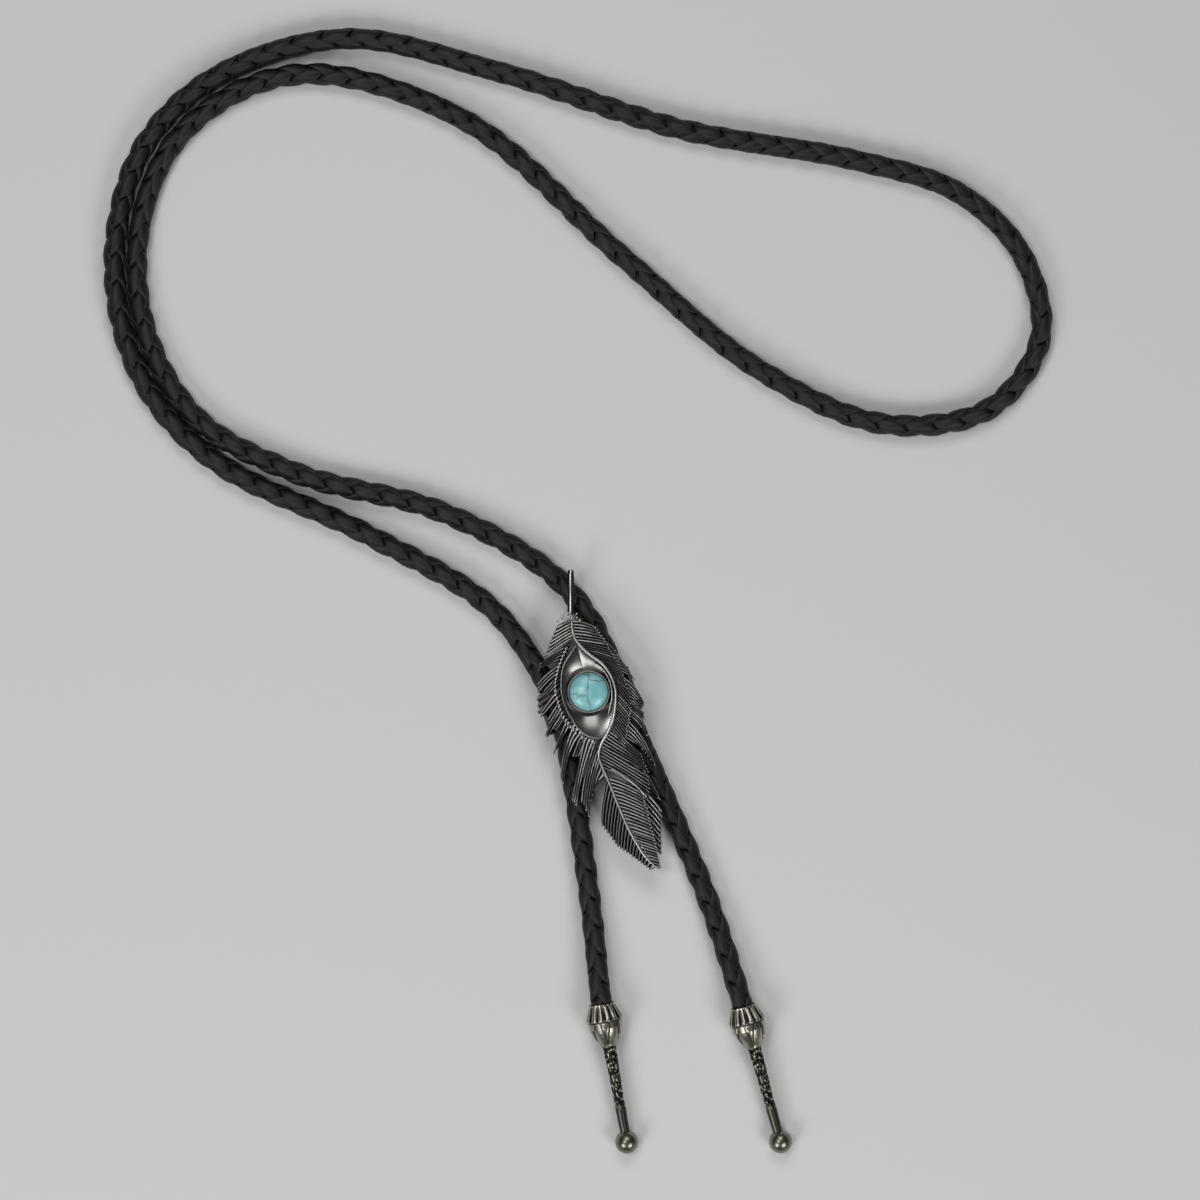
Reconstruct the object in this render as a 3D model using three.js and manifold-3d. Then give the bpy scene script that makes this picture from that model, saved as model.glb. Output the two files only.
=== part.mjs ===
// A bolo tie laid flat: a braided leather cord, a cast feather slide with a round stone
// in its eye, the clasp behind the slide, and two cast cord tips.
// Millimetres. X to the right, Y up along the slide, Z towards the viewer. The origin
// lies on the surface, under the centre of the stone.

import * as THREE from "three";
import { mergeVertices } from "three/addons/utils/BufferGeometryUtils.js";
import Module from "manifold-3d";

// Fits
const fitGap = 0.3;

// Cord
const cordDiameter = 5.2;
const cordSides = 10;
const stepsPerPoint = 2;

// Clasp
const claspLength = 10;
const claspWall = 0.8;
const claspPostWidth = 5;
const claspCornerRadius = 2.4;

// Feather slide
const featherWidth = 31.5;
const featherLength = 74.5;
const plateThickness = 1.2;
const crestHeight = 0.6;
const leafLift = 0.6;
const innerLift = 0.2;
const barbNotch = 0.05;
const spineWidth = 0.75;
const spineHeight = 0.6;
const rimWidth = 0.6;
const rimHeight = 0.4;
const lipWidth = 0.5;
const dishThickness = 1;
const quillDiameter = 1.7;
const beadDiameter = 0.8;

// Stone and its setting
const stoneDiameter = 9.5;
const stoneGirdle = 0.9;
const stoneDome = 1.9;
const bezelWall = 0.5;
const bezelHeight = 1.1;
const seatGap = 0.15;

// Cord tips
const tipLength = 38.2;
const collarDiameter = 9.1;
const collarMouthWall = 0.3;
const collarFlare = 4;
const bellLength = 6.6;
const neckLength = 6;
const ballDiameter = 5.8;
const stemDiameter = 3.3;
const stemTaper = 0.75;
const neckDiameter = 2.8;
const neckTaper = 0.85;
const boreDepth = 6;
const fluteCount = 12;
const fluteDepth = 0.25;
const petalCount = 6;
const petalDepth = 0.35;

// Heights worked out from the sizes above
const cordRadius = cordDiameter / 2;
const lying = cordRadius;
const clasped = claspWall + fitGap + cordRadius;
const easing = (lying + clasped) / 2;
const backHeight = clasped + cordRadius + fitGap;
const leafTop = plateThickness + leafLift;
const ridgeTop = plateThickness + crestHeight;
const stoneSeat = dishThickness - seatGap;

// A tip lies on its collar and its ball, so its axis drops towards the ball.
const collarRadius = collarDiameter / 2;
const ballRadius = ballDiameter / 2;
const collarToBall = tipLength - collarFlare - ballRadius;
const tipDrop = Math.acos(ballRadius / Math.hypot(collarRadius, collarToBall))
  - Math.atan2(collarToBall, collarRadius);
const collarHeight = collarRadius * Math.cos(tipDrop);
const atMouth = collarHeight + collarFlare * Math.sin(tipDrop);
const inBore = collarHeight - (boreDepth - fitGap - collarFlare) * Math.sin(tipDrop);

// The cord's route from the left tip, through the clasp, round both loops and back
// through the clasp to the right tip: x, y and height of its centre line.
const cordRoute = [
  [4.2, -83.3, inBore], [3.2, -77.8, atMouth], [0.3, -52, lying], [-6.5, -8.6, clasped],
  [-9.1, -1, clasped], [-23.8, 20.3, lying], [-55, 39, lying], [-92.2, 56.7, lying],
  [-108.6, 73.1, lying], [-116.7, 92.1, lying], [-117.9, 114, lying],
  [-110.8, 136.3, lying], [-93.3, 153.2, lying], [-61, 162.8, lying],
  [-22.3, 154.5, lying], [22.7, 140.3, lying], [66, 132.6, lying], [92, 124.5, lying],
  [108.2, 108.7, lying], [112.6, 88, lying], [100, 70.6, lying], [73.8, 66.7, lying],
  [42.5, 80.3, lying], [8.3, 108.5, lying], [-30, 141.9, lying], [-67.2, 154, lying],
  [-87.8, 149.5, lying], [-104.6, 135.3, lying], [-112.4, 112.8, lying],
  [-110.2, 89.1, lying], [-97.4, 67.8, lying], [-72.8, 54.4, lying], [-37.3, 45, lying],
  [-10.6, 30.4, lying], [0.4, 18, easing], [6.55, 4.2, clasped], [9.15, -3.4, clasped],
  [29.7, -51.8, lying], [38.4, -78.4, atMouth], [39.9, -83.8, inBore],
];
const leftStrandInClasp = 3;
const rightStrandInClasp = 35;

// Layers of barbs: height of the valley between two barbs, and of the crest over it.
const layers = {
  under: { valley: plateThickness * 0.7, crest: crestHeight * 0.8 },
  vane: { valley: plateThickness, crest: crestHeight },
  inner: { valley: plateThickness + innerLift, crest: crestHeight },
  leaf: { valley: leafTop, crest: crestHeight },
};

// Locks of barbs. Each lock spreads its barbs between the first and the last one, each
// given by its root, a point that it bends towards and its tip, in percent of the
// feather's width and length from the centre of the stone.
const locks = [
  { layer: "vane", barbs: 7,
    first: [[-13.5, 24.3], [-19.5, 23.2], [-25.5, 22]],
    last: [[-13.2, 17.4], [-24.5, 14.8], [-36.4, 10.8]] },
  { layer: "vane", barbs: 5,
    first: [[-13.6, 16.8], [-26, 13.6], [-38.2, 9.6]],
    last: [[-18.6, 10.6], [-30.5, 10], [-40.3, 6.6]] },
  { layer: "vane", barbs: 4,
    first: [[-18.8, 10.2], [-31.2, 8.2], [-40.6, 2.9]],
    last: [[-21, 6.6], [-31, 4.4], [-41, -1.3]] },
  { layer: "vane", barbs: 4,
    first: [[-21, 6.8], [-28.6, 4.2], [-36.5, 0.4]],
    last: [[-21.7, 2.6], [-27.6, 1.2], [-32.4, -1.4]] },
  { layer: "vane", barbs: 4,
    first: [[-21.8, 3], [-29.8, -1], [-38.2, -6.9]],
    last: [[-21, -1.4], [-28.6, -4.2], [-37.6, -9]] },
  { layer: "vane", barbs: 3,
    first: [[-21, -1.2], [-27.5, -5], [-33.2, -9]],
    last: [[-19.6, -3.8], [-25.2, -7], [-30.2, -11]] },
  { layer: "vane", barbs: 3,
    first: [[-19.8, -3.4], [-28.2, -8.6], [-34.7, -14.6]],
    last: [[-17.2, -6], [-26, -11.5], [-33.2, -15.6]] },
  { layer: "vane", barbs: 2,
    first: [[-17.6, -5.6], [-23, -9], [-28.2, -12.2]],
    last: [[-15.6, -7.4], [-21, -10.2], [-25.4, -13]] },
  { layer: "vane", barbs: 3,
    first: [[-16, -7], [-24, -14], [-28.8, -22.2]],
    last: [[-11.6, -10], [-20.5, -14.8], [-24, -18.6]] },
  { layer: "vane", barbs: 4,
    first: [[-12, -9.8], [-22, -19.5], [-22.6, -30]],
    last: [[-4.6, -13.6], [-18.3, -20], [-19.8, -32]] },
  { layer: "vane", barbs: 3,
    first: [[-5.4, -13.4], [-10.5, -17.5], [-13.8, -22]],
    last: [[0.4, -14.8], [-4.4, -18], [-7, -21.4]] },
  { layer: "vane", barbs: 3,
    first: [[-4.4, -15.2], [-8.5, -24.5], [-14, -37]],
    last: [[5, -16], [-5.5, -26], [-9.3, -38.7]] },
  { layer: "vane", barbs: 4,
    first: [[4.5, -15.8], [-4, -26], [-6.8, -36]],
    last: [[9, -21.6], [-0.2, -31.4], [1, -42.7]] },
  { layer: "vane", barbs: 3,
    first: [[8.6, -21], [0.8, -31], [1.6, -37.5]],
    last: [[12.1, -28.6], [8.2, -29.4], [4.6, -32.1]] },
  { layer: "vane", barbs: 7,
    first: [[-13, 24], [-4, 24], [5, 21.8]],
    last: [[-9, 16.7], [4.6, 16.1], [16.5, 15.2]] },
  { layer: "under", barbs: 9,
    first: [[8, 18], [15.5, 17], [20, 14.2]],
    last: [[24, 6.4], [31.6, 6], [38, 3.2]] },
  { layer: "under", barbs: 6,
    first: [[26, 5.6], [36.5, 3.6], [45, -4.7]],
    last: [[28, -3], [35, -2.6], [41.5, -6.4]] },
  { layer: "vane", barbs: 7,
    first: [[-9, 16.8], [4, 16.2], [15.8, 15]],
    last: [[6, 10.8], [15.6, 10.2], [26.2, 7.4]] },
  { layer: "vane", barbs: 6,
    first: [[6, 11.1], [17, 10.2], [26.8, 7.2]],
    last: [[17.6, 5.3], [24.8, 3.8], [31.4, 0.4]] },
  { layer: "vane", barbs: 5,
    first: [[17.4, 5.6], [26, 3.6], [32.8, 0]],
    last: [[21.4, 0], [28.4, -2.8], [33.8, -6.2]] },
  { layer: "inner", barbs: 13,
    first: [[21, 0.2], [28, -2.2], [34, -6]],
    last: [[15.4, -11.8], [22.6, -15.2], [28.4, -19]] },
  { layer: "under", barbs: 4,
    first: [[24, -0.8], [34, -3], [44.5, -7.2]],
    last: [[30, -5.8], [37, -6.8], [44.3, -9.6]] },
  { layer: "under", barbs: 3,
    first: [[31, -6], [42.5, -6.6], [47.8, -15]],
    last: [[33, -8.4], [40, -10.4], [45.6, -14.8]] },
  { layer: "under", barbs: 5,
    first: [[27, -7.6], [43.8, -12.4], [53.6, -25.6]],
    last: [[26, -15.5], [35, -16.6], [41.2, -18.6]] },
  { layer: "vane", barbs: 7,
    first: [[16.9, -11.4], [29.5, -15.6], [41.5, -20.6]],
    last: [[8.8, -18.4], [27, -22.6], [48.5, -27.4]] },
  { layer: "under", barbs: 2,
    first: [[32.8, -20.6], [47.6, -25.9], [57.6, -37]],
    last: [[29.2, -23.1], [44.3, -27], [54.8, -35.8]] },
  { layer: "vane", barbs: 6,
    first: [[8.4, -18], [26.5, -22.8], [48.6, -28]],
    last: [[11.4, -25.8], [28, -28.6], [48.7, -35.7]] },
  { layer: "under", barbs: 9,
    first: [[42, -31.5], [51, -34.8], [57.8, -39.2]],
    last: [[51, -52], [54.6, -53.4], [57.4, -54.6]] },
  { layer: "leaf", barbs: 14,
    first: [[13.2, -28.2], [28.8, -29.6], [43.9, -34]],
    last: [[31.4, -46.4], [41.5, -47.8], [52.6, -49.4]] },
  { layer: "leaf", barbs: 10,
    first: [[31, -46], [43.1, -47.8], [52.4, -49.2]],
    last: [[51.2, -58.4], [54, -58.8], [57, -59]] },
  { layer: "leaf", barbs: 6,
    first: [[14.6, -29.6], [9.8, -37], [9.9, -44.8]],
    last: [[25.6, -39.4], [22.9, -44.9], [22.3, -51.7]] },
  { layer: "leaf", barbs: 12,
    first: [[25.2, -39], [22.6, -44.7], [21.9, -51.5]],
    last: [[52.4, -58.6], [50.6, -59], [49.4, -59.3]] },
];

// Lines that run over the barbs, in the same percent.
const spineLine = [
  [-13.5, 25.3], [-12.8, 20.6], [-10.5, 17.7], [-5.3, 14.9], [1.3, 12.3], [11, 9.3],
  [17.3, 5.5], [20.7, 1.4], [21.3, -2.6], [19.1, -9.3], [14.7, -13.6], [9.8, -17.5],
  [8, -21.4], [10.8, -25.1], [16.3, -30.3], [23, -37.5], [32.5, -46.4], [44.8, -54.9],
  [54.6, -59],
];
const eyeRimLine = [
  [-10.1, 15.4], [-14.8, 12.5], [-18.8, 9.8], [-21, 6.5], [-21.7, 2.8], [-21, -1.2],
  [-18.7, -4.6], [-15.2, -7.6], [-9.3, -11.5], [-4.3, -13.7], [1.8, -15.2], [8.6, -15.7],
];
const innerRimLine = [
  [4.4, 9.5], [9.2, 8.3], [13.5, 6.2], [16.5, 3.6], [18, 1.1], [18.3, -2], [17.1, -4.6],
  [15.3, -7.7],
];
const leafLipLine = [[17.5, -25.6], [26.5, -27.8], [37.5, -31.3], [45.9, -35.1]];
const scrollLine = [
  [-25.6, 23.8], [-21.6, 24.3], [-18.8, 25.4], [-14.5, 26.1], [-11.5, 24.5], [-6.7, 24],
];
const scrollBeads = [[-11.6, 24.6], [-9.2, 24.9], [-6.7, 24]];
const quillFoot = [-14.2, 25.6];
const quillTop = [-14.2, 40.7];
const eyeTop = 2;
const eyeBottom = 10;

const wasm = await Module();
wasm.setup();

// A closed three.js geometry as a solid that can be joined and cut.
function solidOf(geometry) {
  const bare = geometry.clone();
  bare.deleteAttribute("normal");
  bare.deleteAttribute("uv");
  const merged = mergeVertices(bare);
  return new wasm.Manifold(new wasm.Mesh({
    numProp: 3,
    vertProperties: merged.attributes.position.array,
    triVerts: new Uint32Array(merged.index.array),
  }));
}

function geometryOf(solid) {
  const mesh = solid.getMesh();
  const geometry = new THREE.BufferGeometry();
  geometry.setAttribute("position", new THREE.BufferAttribute(mesh.vertProperties, 3));
  geometry.setIndex(new THREE.BufferAttribute(mesh.triVerts, 1));
  geometry.computeVertexNormals();
  return geometry;
}

function joined(solids) {
  return solids.reduce((whole, piece) => whole.add(piece));
}

// A place on the feather from its percent of width and length.
function onFeather([across, along]) {
  return new THREE.Vector2(across / 100 * featherWidth, along / 100 * featherLength);
}

// One lock: barbs side by side as crests with valleys between them, on a flat back.
function lockGeometry({ layer, barbs, first, last }) {
  const segments = 3;
  const { valley, crest } = layers[layer];
  const lines = 2 * barbs;
  const start = first.map(onFeather);
  const end = last.map(onFeather);
  const positions = [];
  for (let line = 0; line <= lines; line += 1) {
    const share = line / lines;
    const [root, via, tip] = start.map((point, i) => point.clone().lerp(end[i], share));
    const barb = new THREE.QuadraticBezierCurve(root, via, tip);
    const onCrest = line % 2;
    const reach = onCrest ? 1 : 1 - barbNotch;
    for (let step = 0; step <= segments; step += 1) {
      const spot = barb.getPoint(step / segments * reach);
      positions.push(spot.x, spot.y, backHeight + valley + crest * onCrest);
    }
  }
  const row = segments + 1;
  const count = positions.length / 3;
  for (let i = 0; i < count; i += 1) {
    positions.push(positions[3 * i], positions[3 * i + 1], backHeight);
  }
  const edge = [];
  for (let line = 0; line < lines; line += 1) edge.push(line * row);
  for (let step = 0; step < segments; step += 1) edge.push(lines * row + step);
  for (let line = lines; line > 0; line -= 1) edge.push(line * row + segments);
  for (let step = segments; step > 0; step -= 1) edge.push(step);
  const outline = edge.map((i) => new THREE.Vector2(positions[3 * i], positions[3 * i + 1]));
  const faces = [];
  for (let line = 0; line < lines; line += 1) {
    for (let step = 0; step < segments; step += 1) {
      const corner = line * row + step;
      faces.push([corner, corner + row, corner + row + 1]);
      faces.push([corner, corner + row + 1, corner + 1]);
    }
  }
  const clockwise = THREE.ShapeUtils.isClockWise(outline);
  for (const triangle of THREE.ShapeUtils.triangulateShape(outline, [])) {
    const under = triangle.map((i) => edge[i] + count);
    faces.push(clockwise ? under : under.reverse());
  }
  edge.forEach((here, i) => {
    const next = edge[(i + 1) % edge.length];
    faces.push([here, here + count, next + count]);
    faces.push([here, next + count, next]);
  });
  if (clockwise) faces.forEach((face) => face.reverse());
  const geometry = new THREE.BufferGeometry();
  geometry.setAttribute("position", new THREE.Float32BufferAttribute(positions, 3));
  geometry.setIndex(faces.flat());
  return geometry;
}

// A raised line along the feather: a rounded ridge that stands on the back plane.
function ridgeGeometry(line, width, height, steps) {
  const path = new THREE.CatmullRomCurve3(line.map((point) => {
    const spot = onFeather(point);
    return new THREE.Vector3(spot.x, spot.y, backHeight);
  }));
  const half = width / 2;
  const shoulder = height - half;
  const section = new THREE.Shape([
    new THREE.Vector2(0, -half), new THREE.Vector2(0, half),
    new THREE.Vector2(-shoulder, half), new THREE.Vector2(-height, half / 2),
    new THREE.Vector2(-height, -half / 2), new THREE.Vector2(-shoulder, -half),
  ]);
  return new THREE.ExtrudeGeometry(section, { steps, extrudePath: path });
}

// The polished eye between its left rim and the spine.
function dishGeometry() {
  const right = spineLine.slice(eyeTop, eyeBottom + 1);
  const outline = [...eyeRimLine, ...right.reverse()].map(onFeather);
  const options = { depth: dishThickness, bevelEnabled: false };
  const geometry = new THREE.ExtrudeGeometry(new THREE.Shape(outline), options);
  return geometry.translate(0, 0, backHeight);
}

function upright(radius, height, bottom, sides) {
  const geometry = new THREE.CylinderGeometry(radius, radius, height, sides);
  return geometry.rotateX(Math.PI / 2).translate(0, 0, bottom + height / 2);
}

function bead([across, along], diameter, height) {
  const spot = onFeather([across, along]);
  return new THREE.SphereGeometry(diameter / 2, 8, 6).translate(spot.x, spot.y, height);
}

function quillGeometry() {
  const foot = onFeather(quillFoot);
  const top = onFeather(quillTop);
  const radius = quillDiameter / 2;
  const length = foot.distanceTo(top) - radius;
  const geometry = new THREE.CapsuleGeometry(radius, length, 3, 10);
  return geometry.translate(foot.x, foot.y + length / 2, backHeight + radius);
}

function featherSlide() {
  const stoneRadius = stoneDiameter / 2;
  const pocketRadius = stoneRadius + seatGap;
  const bezelTop = dishThickness + bezelHeight;
  const scrollHeight = ridgeTop + beadDiameter / 4;
  const pieces = [
    ...locks.map(lockGeometry),
    dishGeometry(),
    ridgeGeometry(spineLine, spineWidth, leafTop + spineHeight, 32),
    ridgeGeometry(eyeRimLine, rimWidth, ridgeTop + rimHeight, 16),
    ridgeGeometry(innerRimLine, rimWidth, plateThickness + rimHeight, 10),
    ridgeGeometry(leafLipLine, lipWidth, leafTop + crestHeight, 6),
    ridgeGeometry(scrollLine, beadDiameter, scrollHeight, 8),
    upright(pocketRadius + bezelWall, bezelTop, backHeight, 32),
    quillGeometry(),
    ...scrollBeads.map((spot) => bead(spot, beadDiameter * 1.4, backHeight + ridgeTop)),
  ];
  const pocket = upright(pocketRadius, bezelTop, backHeight + stoneSeat, 32);
  return joined(pieces.map(solidOf)).subtract(solidOf(pocket));
}

// A round cabochon with a short upright girdle under its dome.
function stoneGeometry() {
  const radius = stoneDiameter / 2;
  const girdleTop = backHeight + stoneSeat + stoneGirdle;
  const profile = [
    new THREE.Vector2(0, backHeight + stoneSeat),
    new THREE.Vector2(radius, backHeight + stoneSeat),
  ];
  const rings = 5;
  for (let ring = 0; ring < rings; ring += 1) {
    const angle = ring / rings * Math.PI / 2;
    const reach = radius * Math.cos(angle);
    profile.push(new THREE.Vector2(reach, girdleTop + stoneDome * Math.sin(angle)));
  }
  profile.push(new THREE.Vector2(0, girdleTop + stoneDome));
  return new THREE.LatheGeometry(profile, 32).rotateX(Math.PI / 2);
}

function routePoints() {
  return cordRoute.map(([x, y, z]) => new THREE.Vector3(x, y, z));
}

// The cord's centre line. It never dips into the surface, and steps along it fall evenly
// between its route points, which lie closer in the bends.
class LaidRoute extends THREE.CatmullRomCurve3 {
  getPoint(share, target) {
    const spot = super.getPoint(share, target);
    spot.z = Math.max(spot.z, lying);
    return spot;
  }

  getUtoTmapping(share) {
    return share;
  }
}

function cordGeometry() {
  const route = new LaidRoute(routePoints());
  const section = new THREE.Shape();
  for (let side = 0; side < cordSides; side += 1) {
    const angle = side / cordSides * 2 * Math.PI;
    const corner = [cordRadius * Math.cos(angle), cordRadius * Math.sin(angle)];
    if (side === 0) section.moveTo(...corner);
    else section.lineTo(...corner);
  }
  const steps = (cordRoute.length - 1) * stepsPerPoint;
  return new THREE.ExtrudeGeometry(section, { steps, extrudePath: route });
}

// The clasp in its own section, across and up: a flat strap under both strands, a wall
// outside each of them and a post between them, up to the back of the slide.
function claspGeometry(strandSpacing) {
  const channel = cordRadius + fitGap;
  const inner = strandSpacing / 2 + channel;
  const outer = inner + claspWall;
  const post = claspPostWidth / 2;
  const round = claspCornerRadius;
  const inside = Math.max(round - claspWall, fitGap);
  const section = new THREE.Shape();
  section.moveTo(-outer, backHeight);
  section.lineTo(-outer, round);
  section.quadraticCurveTo(-outer, 0, -outer + round, 0);
  section.lineTo(outer - round, 0);
  section.quadraticCurveTo(outer, 0, outer, round);
  section.lineTo(outer, backHeight);
  section.lineTo(inner, backHeight);
  section.lineTo(inner, claspWall + inside);
  section.lineTo(inner - inside, claspWall);
  section.lineTo(post, claspWall);
  section.lineTo(post, backHeight);
  section.lineTo(-post, backHeight);
  section.lineTo(-post, claspWall);
  section.lineTo(-inner + inside, claspWall);
  section.lineTo(-inner, claspWall + inside);
  section.lineTo(-inner, backHeight);
  section.closePath();
  const options = { depth: claspLength, bevelEnabled: false, curveSegments: 5 };
  const geometry = new THREE.ExtrudeGeometry(section, options);
  return geometry.translate(0, 0, -claspLength / 2).rotateX(Math.PI / 2);
}

// One cord tip along +X from its mouth: each row gives the distance along the axis, the
// radius, and how deep its flutes or petals are.
function tipGeometry() {
  const sides = 24;
  const mouthRadius = cordRadius + fitGap + collarMouthWall;
  const boreRadius = cordRadius + fitGap;
  const bellStart = collarFlare + bellLength * 0.15;
  const bellEnd = collarFlare + bellLength;
  const ballCentre = tipLength - ballRadius;
  const neckEnd = ballCentre - ballRadius * 0.9;
  const neckStart = neckEnd - neckLength;
  const stem = stemDiameter / 2;
  const neck = neckDiameter / 2;
  const profile = [
    { along: boreDepth, radius: 0 },
    { along: boreDepth, radius: boreRadius },
    { along: 0, radius: boreRadius },
    { along: 0, radius: mouthRadius },
    { along: collarFlare * 0.4, radius: (mouthRadius + collarRadius) / 2, flute: 0.6 },
    { along: collarFlare, radius: collarRadius, flute: 1 },
    { along: bellStart, radius: collarRadius * 0.95 },
    { along: collarFlare + bellLength * 0.45, radius: collarRadius * 0.88, petal: 0.3 },
    { along: collarFlare + bellLength * 0.75, radius: collarRadius * 0.68, petal: 1 },
    { along: bellEnd, radius: stem * 1.3, petal: 0.5 },
    { along: bellEnd + stem * 0.3, radius: stem },
    { along: neckStart - neck, radius: stem * stemTaper },
    { along: neckStart, radius: neck },
    { along: neckEnd, radius: neck * neckTaper },
  ];
  const rings = 7;
  for (let ring = 1; ring < rings; ring += 1) {
    const angle = Math.PI * (0.12 + 0.88 * ring / rings);
    const along = ballCentre - ballRadius * Math.cos(angle);
    profile.push({ along, radius: ballRadius * Math.sin(angle) });
  }
  profile.push({ along: tipLength, radius: 0 });
  const positions = [];
  for (const { along, radius, flute = 0, petal = 0 } of profile) {
    for (let side = 0; side < sides; side += 1) {
      const angle = side / sides * 2 * Math.PI;
      const fluting = flute * fluteDepth * (0.5 - 0.5 * Math.cos(fluteCount * angle));
      const petals = petal * petalDepth * (0.5 - 0.5 * Math.cos(petalCount * angle));
      const reach = Math.max(radius - fluting - petals, 0);
      positions.push(along, reach * Math.cos(angle), reach * Math.sin(angle));
    }
  }
  const faces = [];
  for (let ring = 0; ring < profile.length - 1; ring += 1) {
    for (let side = 0; side < sides; side += 1) {
      const here = ring * sides + side;
      const next = ring * sides + (side + 1) % sides;
      if (ring < profile.length - 2) faces.push([here, next + sides, here + sides]);
      if (ring > 0) faces.push([here, next, next + sides]);
      if (ring === profile.length - 2) faces.splice(-1, 1, [here, next, next + sides]);
    }
  }
  const geometry = new THREE.BufferGeometry();
  geometry.setAttribute("position", new THREE.Float32BufferAttribute(positions, 3));
  geometry.setIndex(faces.flat());
  return mergeVertices(geometry, 1e-4);
}

// A tip goes over the cord's end: its bore's floor is a fit gap beyond that end.
function placeTip(mesh, end, before) {
  const heading = Math.atan2(end.y - before.y, end.x - before.x);
  const back = (boreDepth - fitGap) * Math.cos(tipDrop);
  mesh.position.set(end.x - back * Math.cos(heading), end.y - back * Math.sin(heading), atMouth);
  mesh.rotation.set(0, tipDrop, heading, "ZYX");
}

// The clasp sits between the two strands that run through it.
function placeClasp(mesh, left, right) {
  const strand = left[1].clone().sub(left[0]);
  mesh.position.copy(left[0]).add(left[1]).add(right[0]).add(right[1]).divideScalar(4);
  mesh.position.z = 0;
  mesh.rotation.z = Math.atan2(strand.y, strand.x) - Math.PI / 2;
}

// Finishes
function finish(color, roughness, metalness) {
  return new THREE.MeshStandardMaterial({ color, roughness, metalness });
}

function named(name, geometry, material) {
  const mesh = new THREE.Mesh(geometry, material);
  mesh.name = name;
  return mesh;
}

const points = routePoints();
const left = points.slice(leftStrandInClasp, leftStrandInClasp + 2);
const right = points.slice(rightStrandInClasp, rightStrandInClasp + 2).reverse();
const along = left[1].clone().sub(left[0]).normalize();
const apart = right[0].clone().add(right[1]).sub(left[0]).sub(left[1]).divideScalar(2);
const strandSpacing = Math.abs(apart.x * along.y - apart.y * along.x);

const boloTie = new THREE.Group();
boloTie.add(named("leather_cord", cordGeometry(), finish(0x1b1a1a, 0.55, 0)));
boloTie.add(named("feather_slide", geometryOf(featherSlide()), finish(0x6e6b68, 0.35, 1)));
boloTie.add(named("turquoise_stone", stoneGeometry(), finish(0x74bec0, 0.25, 0)));

const clasp = named("cord_clasp", claspGeometry(strandSpacing), finish(0x77756f, 0.4, 1));
placeClasp(clasp, left, right);
boloTie.add(clasp);

const tips = [
  { name: "left_tip", end: points[0], before: points[1] },
  { name: "right_tip", end: points.at(-1), before: points.at(-2) },
];
for (const { name, end, before } of tips) {
  const tip = named(name, tipGeometry(), finish(0x6e6a66, 0.35, 1));
  placeTip(tip, end, before);
  boloTie.add(tip);
}

export default boloTie;
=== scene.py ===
"""A bolo tie laid flat, seen from straight above, with its braided cord, cast feather
slide, turquoise stone and cast cord tips. Lengths are in metres in the object's frame."""

import math
import random
from collections import namedtuple

import bmesh
import bpy
import numpy as np
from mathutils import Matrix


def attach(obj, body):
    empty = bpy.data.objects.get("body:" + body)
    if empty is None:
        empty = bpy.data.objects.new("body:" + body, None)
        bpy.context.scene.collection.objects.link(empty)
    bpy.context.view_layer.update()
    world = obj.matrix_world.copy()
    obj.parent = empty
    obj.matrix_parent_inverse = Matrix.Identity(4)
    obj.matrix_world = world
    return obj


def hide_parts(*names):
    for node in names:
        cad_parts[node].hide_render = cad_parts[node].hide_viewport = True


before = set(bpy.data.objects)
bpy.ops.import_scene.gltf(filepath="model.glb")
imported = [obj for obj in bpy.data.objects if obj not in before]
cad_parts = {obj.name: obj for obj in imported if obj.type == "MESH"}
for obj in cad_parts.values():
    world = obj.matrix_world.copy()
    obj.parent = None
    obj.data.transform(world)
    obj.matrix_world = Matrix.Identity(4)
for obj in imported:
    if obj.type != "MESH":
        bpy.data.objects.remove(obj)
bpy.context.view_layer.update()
MM = 0.001

# Camera
VIEW_WIDTH = 0.3
VIEW_CENTRE = (0.0028, 0.0228)
CAMERA_HEIGHT = 1.2
SENSOR_WIDTH = 36.0

# Cord
CORD_DIAMETER = 0.0052
LYING = CORD_DIAMETER / 2
CLASPED = 0.0037
EASING = (LYING + CLASPED) / 2
AT_MOUTH = 0.004754
IN_BORE = 0.004454
ROUTE = [
    (0.0042, -0.0833, IN_BORE), (0.0032, -0.0778, AT_MOUTH), (0.0003, -0.052, LYING),
    (-0.0065, -0.0086, CLASPED), (-0.0091, -0.001, CLASPED), (-0.0238, 0.0203, LYING),
    (-0.055, 0.039, LYING), (-0.0922, 0.0567, LYING), (-0.1086, 0.0731, LYING),
    (-0.1167, 0.0921, LYING), (-0.1179, 0.114, LYING), (-0.1108, 0.1363, LYING),
    (-0.0933, 0.1532, LYING), (-0.061, 0.1628, LYING), (-0.0223, 0.1545, LYING),
    (0.0227, 0.1403, LYING), (0.066, 0.1326, LYING), (0.092, 0.1245, LYING),
    (0.1082, 0.1087, LYING), (0.1126, 0.088, LYING), (0.1, 0.0706, LYING),
    (0.0738, 0.0667, LYING), (0.0425, 0.0803, LYING), (0.0083, 0.1085, LYING),
    (-0.03, 0.1419, LYING), (-0.0672, 0.154, LYING), (-0.0878, 0.1495, LYING),
    (-0.1046, 0.1353, LYING), (-0.1124, 0.1128, LYING), (-0.1102, 0.0891, LYING),
    (-0.0974, 0.0678, LYING), (-0.0728, 0.0544, LYING), (-0.0373, 0.045, LYING),
    (-0.0106, 0.0304, LYING), (0.0004, 0.018, EASING), (0.00655, 0.0042, CLASPED),
    (0.00915, -0.0034, CLASPED), (0.0297, -0.0518, LYING), (0.0384, -0.0784, AT_MOUTH),
    (0.0399, -0.0838, IN_BORE),
]

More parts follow.
